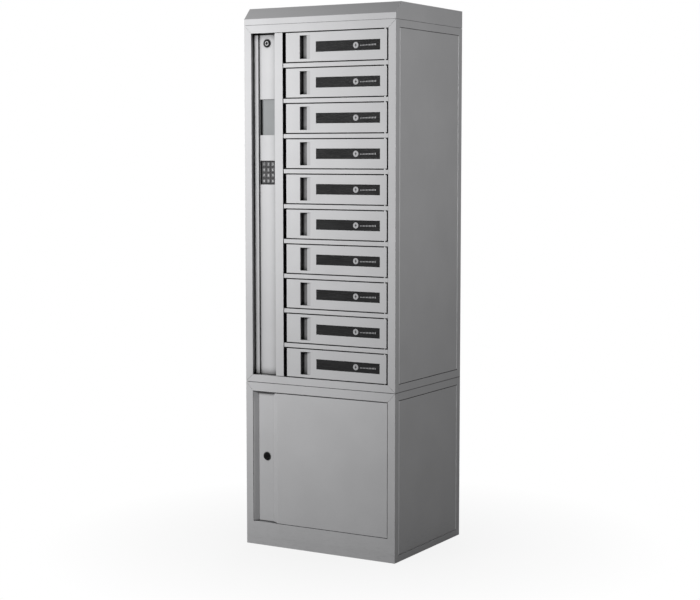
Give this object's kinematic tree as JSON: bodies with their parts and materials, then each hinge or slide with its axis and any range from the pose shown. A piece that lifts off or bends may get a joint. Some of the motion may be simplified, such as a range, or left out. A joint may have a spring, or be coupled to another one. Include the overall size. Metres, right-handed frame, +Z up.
{
  "type": "phone charging kiosk",
  "caption": "Free-standing steel kiosk with hinged charging lockers, a keypad control column and a lockable base cabinet.",
  "frame": {"origin": "middle of the underside, on the floor", "axes": "+Z up, the front with the doors faces -Y, +X to the right of a person facing the front"},
  "size_m": [0.48, 0.392, 1.508],
  "materials": {
    "powder_coat": "silver-grey satin powder coat",
    "inner_coat": "grey powder coat",
    "zinc": "zinc plated",
    "black_plastic": "fine texture",
    "key_plastic": "satin",
    "smoked_acrylic": "dark smoked acrylic",
    "screen": "display that is switched off",
    "lock_chrome": "bright plated",
    "lock_black": "black"
  },
  "bodies": {
    "cabinet": {"top_cap": "powder_coat", "upper_front_frame": "powder_coat", "upper_left_side": "powder_coat", "upper_right_side": "powder_coat", "upper_back_panel": "powder_coat", "upper_floor": "inner_coat", "bay_rack": "powder_coat", "charging_panel": "black_plastic", "lock_rail": "zinc", "power_supply": "zinc", "controller_box": "black_plastic", "power_inlet": "black_plastic", "base_front_frame": "powder_coat", "base_left_side": "powder_coat", "base_right_side": "powder_coat", "base_back_panel": "powder_coat", "base_top_plate": "inner_coat", "base_floor": "inner_coat", "bottom_plate": "zinc"},
    "locker_01": {"locker_door_01": "powder_coat", "window_01": "smoked_acrylic"},
    "locker_02": {"locker_door_02": "powder_coat", "window_02": "smoked_acrylic"},
    "locker_03": {"locker_door_03": "powder_coat", "window_03": "smoked_acrylic"},
    "locker_04": {"locker_door_04": "powder_coat", "window_04": "smoked_acrylic"},
    "locker_05": {"locker_door_05": "powder_coat", "window_05": "smoked_acrylic"},
    "locker_06": {"locker_door_06": "powder_coat", "window_06": "smoked_acrylic"},
    "locker_07": {"locker_door_07": "powder_coat", "window_07": "smoked_acrylic"},
    "locker_08": {"locker_door_08": "powder_coat", "window_08": "smoked_acrylic"},
    "locker_09": {"locker_door_09": "powder_coat", "window_09": "smoked_acrylic"},
    "locker_10": {"locker_door_10": "powder_coat", "window_10": "smoked_acrylic"},
    "control_column_door": {"control_door": "powder_coat", "control_lock_body": "lock_black", "display_housing": "black_plastic", "display_screen": "screen", "keypad_body": "black_plastic"},
    "base_cabinet_door": {"base_door": "powder_coat", "base_lock_body": "lock_black"},
    "control_lock": {"control_lock_plug": "lock_chrome"},
    "base_lock": {"base_lock_plug": "lock_black"},
    "keypad_key_1": {"key_1": "key_plastic"},
    "keypad_key_2": {"key_2": "key_plastic"},
    "keypad_key_3": {"key_3": "key_plastic"},
    "keypad_key_4": {"key_4": "key_plastic"},
    "keypad_key_5": {"key_5": "key_plastic"},
    "keypad_key_6": {"key_6": "key_plastic"},
    "keypad_key_7": {"key_7": "key_plastic"},
    "keypad_key_8": {"key_8": "key_plastic"},
    "keypad_key_9": {"key_9": "key_plastic"},
    "keypad_key_star": {"key_star": "key_plastic"},
    "keypad_key_0": {"key_0": "key_plastic"},
    "keypad_key_hash": {"key_hash": "key_plastic"}
  },
  "joints": [
    {"name": "locker_01_hinge", "type": "hinge", "parent": "cabinet", "child": "locker_01", "pos_m": [0.2055, -0.19, 1.39535], "axis": [0, 0, 1], "range_deg": [0, 110]},
    {"name": "locker_02_hinge", "type": "hinge", "parent": "cabinet", "child": "locker_02", "pos_m": [0.2055, -0.19, 1.29905], "axis": [0, 0, 1], "range_deg": [0, 110]},
    {"name": "locker_03_hinge", "type": "hinge", "parent": "cabinet", "child": "locker_03", "pos_m": [0.2055, -0.19, 1.20275], "axis": [0, 0, 1], "range_deg": [0, 110]},
    {"name": "locker_04_hinge", "type": "hinge", "parent": "cabinet", "child": "locker_04", "pos_m": [0.2055, -0.19, 1.10645], "axis": [0, 0, 1], "range_deg": [0, 110]},
    {"name": "locker_05_hinge", "type": "hinge", "parent": "cabinet", "child": "locker_05", "pos_m": [0.2055, -0.19, 1.01015], "axis": [0, 0, 1], "range_deg": [0, 110]},
    {"name": "locker_06_hinge", "type": "hinge", "parent": "cabinet", "child": "locker_06", "pos_m": [0.2055, -0.19, 0.91385], "axis": [0, 0, 1], "range_deg": [0, 110]},
    {"name": "locker_07_hinge", "type": "hinge", "parent": "cabinet", "child": "locker_07", "pos_m": [0.2055, -0.19, 0.81755], "axis": [0, 0, 1], "range_deg": [0, 110]},
    {"name": "locker_08_hinge", "type": "hinge", "parent": "cabinet", "child": "locker_08", "pos_m": [0.2055, -0.19, 0.72125], "axis": [0, 0, 1], "range_deg": [0, 110]},
    {"name": "locker_09_hinge", "type": "hinge", "parent": "cabinet", "child": "locker_09", "pos_m": [0.2055, -0.19, 0.62495], "axis": [0, 0, 1], "range_deg": [0, 110]},
    {"name": "locker_10_hinge", "type": "hinge", "parent": "cabinet", "child": "locker_10", "pos_m": [0.2055, -0.19, 0.52865], "axis": [0, 0, 1], "range_deg": [0, 110]},
    {"name": "control_door_hinge", "type": "hinge", "parent": "cabinet", "child": "control_column_door", "pos_m": [-0.1188, -0.191, 0.9621], "axis": [0, 0, 1], "range_deg": [0, 90]},
    {"name": "base_door_hinge", "type": "hinge", "parent": "cabinet", "child": "base_cabinet_door", "pos_m": [0.2059, -0.191, 0.2524], "axis": [0, 0, 1], "range_deg": [0, 110]},
    {"name": "control_lock_turn", "type": "hinge", "parent": "control_column_door", "child": "control_lock", "pos_m": [-0.176, -0.1775, 1.4105], "axis": [0, 1, 0], "range_deg": [0, 90]},
    {"name": "base_lock_turn", "type": "hinge", "parent": "base_cabinet_door", "child": "base_lock", "pos_m": [-0.179, -0.182, 0.254], "axis": [0, 1, 0], "range_deg": [0, 90]},
    {"name": "key_1_press", "type": "slide", "parent": "control_column_door", "child": "keypad_key_1", "axis": [0, 1, 0], "range_m": [0, 0.0012], "stiffness_N_per_m": 600},
    {"name": "key_2_press", "type": "slide", "parent": "control_column_door", "child": "keypad_key_2", "axis": [0, 1, 0], "range_m": [0, 0.0012], "stiffness_N_per_m": 600},
    {"name": "key_3_press", "type": "slide", "parent": "control_column_door", "child": "keypad_key_3", "axis": [0, 1, 0], "range_m": [0, 0.0012], "stiffness_N_per_m": 600},
    {"name": "key_4_press", "type": "slide", "parent": "control_column_door", "child": "keypad_key_4", "axis": [0, 1, 0], "range_m": [0, 0.0012], "stiffness_N_per_m": 600},
    {"name": "key_5_press", "type": "slide", "parent": "control_column_door", "child": "keypad_key_5", "axis": [0, 1, 0], "range_m": [0, 0.0012], "stiffness_N_per_m": 600},
    {"name": "key_6_press", "type": "slide", "parent": "control_column_door", "child": "keypad_key_6", "axis": [0, 1, 0], "range_m": [0, 0.0012], "stiffness_N_per_m": 600},
    {"name": "key_7_press", "type": "slide", "parent": "control_column_door", "child": "keypad_key_7", "axis": [0, 1, 0], "range_m": [0, 0.0012], "stiffness_N_per_m": 600},
    {"name": "key_8_press", "type": "slide", "parent": "control_column_door", "child": "keypad_key_8", "axis": [0, 1, 0], "range_m": [0, 0.0012], "stiffness_N_per_m": 600},
    {"name": "key_9_press", "type": "slide", "parent": "control_column_door", "child": "keypad_key_9", "axis": [0, 1, 0], "range_m": [0, 0.0012], "stiffness_N_per_m": 600},
    {"name": "key_star_press", "type": "slide", "parent": "control_column_door", "child": "keypad_key_star", "axis": [0, 1, 0], "range_m": [0, 0.0012], "stiffness_N_per_m": 600},
    {"name": "key_0_press", "type": "slide", "parent": "control_column_door", "child": "keypad_key_0", "axis": [0, 1, 0], "range_m": [0, 0.0012], "stiffness_N_per_m": 600},
    {"name": "key_hash_press", "type": "slide", "parent": "control_column_door", "child": "keypad_key_hash", "axis": [0, 1, 0], "range_m": [0, 0.0012], "stiffness_N_per_m": 600}
  ]
}
